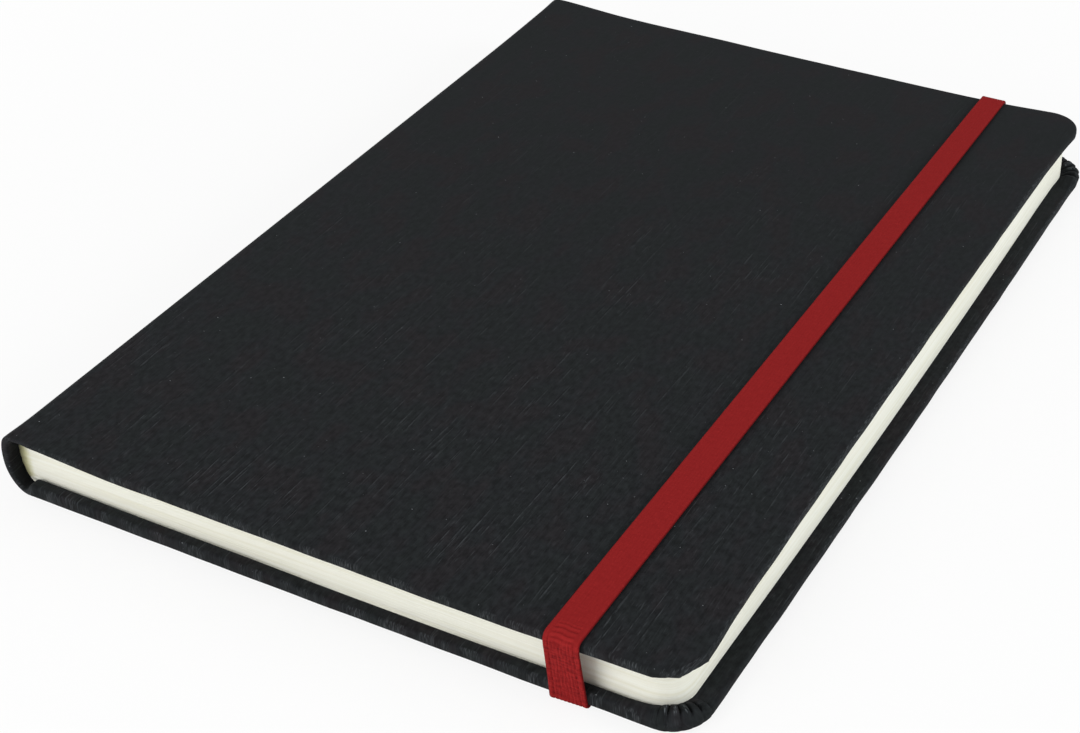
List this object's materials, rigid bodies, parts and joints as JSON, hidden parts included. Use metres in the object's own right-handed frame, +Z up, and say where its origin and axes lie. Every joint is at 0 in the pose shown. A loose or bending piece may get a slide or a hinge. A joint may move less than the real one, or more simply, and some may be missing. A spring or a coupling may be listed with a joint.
{
  "type": "watercolor sketchbook",
  "caption": "Hardcover watercolour sketchbook in dark book cloth with rounded spine and fore corners, cream leaves, and a red elastic band that holds it shut.",
  "frame": {"origin": "middle of the closed book's box, on the surface it lies on, which is the underside of the elastic band", "axes": "+X from the spine to the fore edge, +Y from the tail to the head, +Z up through the front cover"},
  "size_m": [0.1564, 0.2198, 0.0173],
  "materials": {
    "leaf_paper": "uncoated cream rag paper, cut edges of the leaves",
    "endpaper": "smooth uncoated cream paper",
    "mull": "open-weave cotton stiffened with glue",
    "spine_card": "thin grey card",
    "binders_board": "pressed grey board",
    "book_cloth": "matt charcoal book cloth, fine plain weave with slubs",
    "red_elastic": "flat woven elastic, lengthwise ribs"
  },
  "bodies": {
    "text_block": {"page_block": "leaf_paper", "front_flyleaf": "endpaper", "back_flyleaf": "endpaper", "spine_mull": "mull", "spine_inlay": "spine_card", "spine_cloth": "book_cloth"},
    "front_cover": {"front_board": "binders_board", "front_cloth": "book_cloth", "front_pastedown": "endpaper"},
    "back_cover": {"back_board": "binders_board", "back_cloth": "book_cloth", "back_pastedown": "endpaper"},
    "elastic": {"elastic_band": "red_elastic"}
  },
  "joints": [
    {"name": "front_cover_hinge", "type": "hinge", "parent": "text_block", "child": "front_cover", "pos_m": [-0.07633, 0, 0.01595], "axis": [0, -1, 0], "range_deg": [0, 180]},
    {"name": "back_cover_hinge", "type": "hinge", "parent": "text_block", "child": "back_cover", "pos_m": [-0.07633, 0, 0.00135], "axis": [0, 1, 0], "range_deg": [0, 180]},
    {"name": "elastic_swing", "type": "hinge", "parent": "back_cover", "child": "elastic", "pos_m": [0.05278, 0, 0.0004], "axis": [0, 1, 0], "range_deg": [0, 180], "deforming": ["elastic_band"]}
  ],
  "couplings": [
    {"joint": "elastic_swing", "follows": "front_cover_hinge", "ratio": 1}
  ]
}
